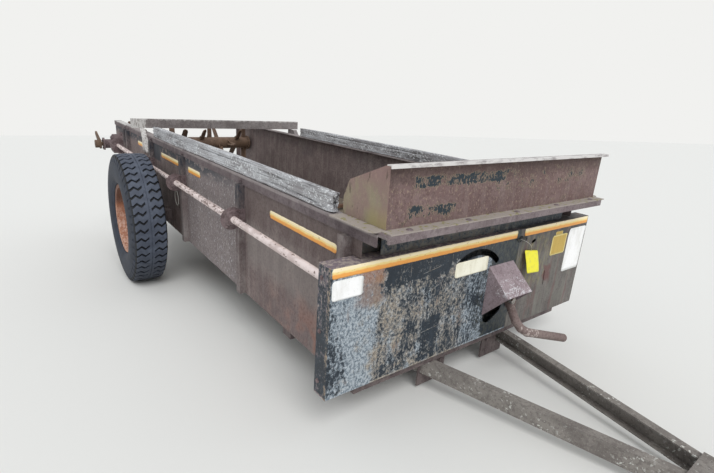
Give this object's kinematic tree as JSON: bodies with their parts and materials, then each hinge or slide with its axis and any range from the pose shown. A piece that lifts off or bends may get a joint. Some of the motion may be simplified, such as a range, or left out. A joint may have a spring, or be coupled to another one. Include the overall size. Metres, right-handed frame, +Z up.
{
  "type": "manure spreader",
  "caption": "Weathered farm manure spreader: a long steel and timber box on one axle, with a rear beater, a side drive shaft and a drawbar resting on the ground.",
  "frame": {"origin": "on the ground, at the middle of the machine's length and width", "axes": "+Z up, -Y towards the drawbar's hitch (front), -X towards the machine's right side"},
  "size_m": [2.322, 6.1253, 1.2977],
  "materials": {
    "rusted_steel": "rusted sheet steel with worn paint",
    "dark_steel": "dark rust",
    "apron_steel": "scoured rust",
    "hood_steel": "rusted sheet with flakes of dark paint",
    "grey_plank": "weathered grey timber with lichen",
    "floor_wood": "weathered boards",
    "arch_steel": "faded paint",
    "blue_black_paint": "flaking blue-black paint over rust",
    "worn_shaft": "chalky faded paint",
    "stub_steel": "tarnished steel",
    "cast_housing": "rusted casting",
    "beater_steel": "scoured rust",
    "tyre": "aged rubber",
    "rim_paint": "orange rust",
    "hub_steel": "rusted casting"
  },
  "bodies": {
    "chassis": {"sill_right": "dark_steel", "sill_left": "dark_steel", "floor_crossmembers": "dark_steel", "floor_boards": "floor_wood", "apron_chains": "apron_steel", "apron_slats": "apron_steel", "apron_shafts": "dark_steel", "side_panel_right": "rusted_steel", "side_panel_left": "rusted_steel", "stakes_right": "rusted_steel", "stakes_left": "rusted_steel", "top_rail_right": "rusted_steel", "top_rail_left": "rusted_steel", "plank_right": "grey_plank", "plank_left": "grey_plank", "rear_arch": "arch_steel", "beater_plate_right": "rusted_steel", "beater_plate_left": "rusted_steel", "bulkhead": "blue_black_paint", "front_top_strip": "blue_black_paint", "front_beam_upper": "rusted_steel", "front_beam_lower": "dark_steel", "front_hood": "hood_steel", "cover_main": "blue_black_paint", "cover_side": "rusted_steel", "cover_backs": "rusted_steel", "pto_shield": "rusted_steel", "pto_bearing": "cast_housing", "pto_rest_arm": "rusted_steel", "drawbar_rail_right": "dark_steel", "drawbar_rail_left": "dark_steel", "drawbar_brackets": "dark_steel", "drawbar_crossbeam": "dark_steel", "hitch_clevis": "dark_steel", "axle_beam": "dark_steel", "shaft_bearings": "cast_housing", "beater_gearbox": "cast_housing", "beater_bearing": "cast_housing"},
    "wheel_right": {"tyre_right": "tyre", "rim_right": "rim_paint", "hub_right": "hub_steel"},
    "wheel_left": {"tyre_left": "tyre", "rim_left": "rim_paint", "hub_left": "hub_steel"},
    "beater": {"beater_shaft": "beater_steel", "beater_paddles": "beater_steel"},
    "side_shaft": {"side_shaft": "worn_shaft"},
    "pto_stub": {"pto_stub": "stub_steel"}
  },
  "joints": [
    {"name": "wheel_right_spin", "type": "hinge", "parent": "chassis", "child": "wheel_right", "pos_m": [-1.03, 0.90198, 0.51], "axis": [1, 0, 0], "continuous": true},
    {"name": "wheel_left_spin", "type": "hinge", "parent": "chassis", "child": "wheel_left", "pos_m": [1.03, 0.90198, 0.51], "axis": [1, 0, 0], "continuous": true},
    {"name": "beater_spin", "type": "hinge", "parent": "chassis", "child": "beater", "pos_m": [0, 2.67302, 1.03435], "axis": [-1, 0, 0], "continuous": true},
    {"name": "side_shaft_spin", "type": "hinge", "parent": "chassis", "child": "side_shaft", "pos_m": [-0.84, -0.76385, 0.73366], "axis": [0, -0.9962, -0.0872], "continuous": true},
    {"name": "pto_spin", "type": "hinge", "parent": "chassis", "child": "pto_stub", "pos_m": [0.108, -1.74105, 0.42934], "axis": [0, -0.9962, -0.0872], "continuous": true}
  ],
  "couplings": [
    {"joint": "side_shaft_spin", "follows": "beater_spin", "ratio": 1.5},
    {"joint": "pto_spin", "follows": "beater_spin", "ratio": 2}
  ]
}
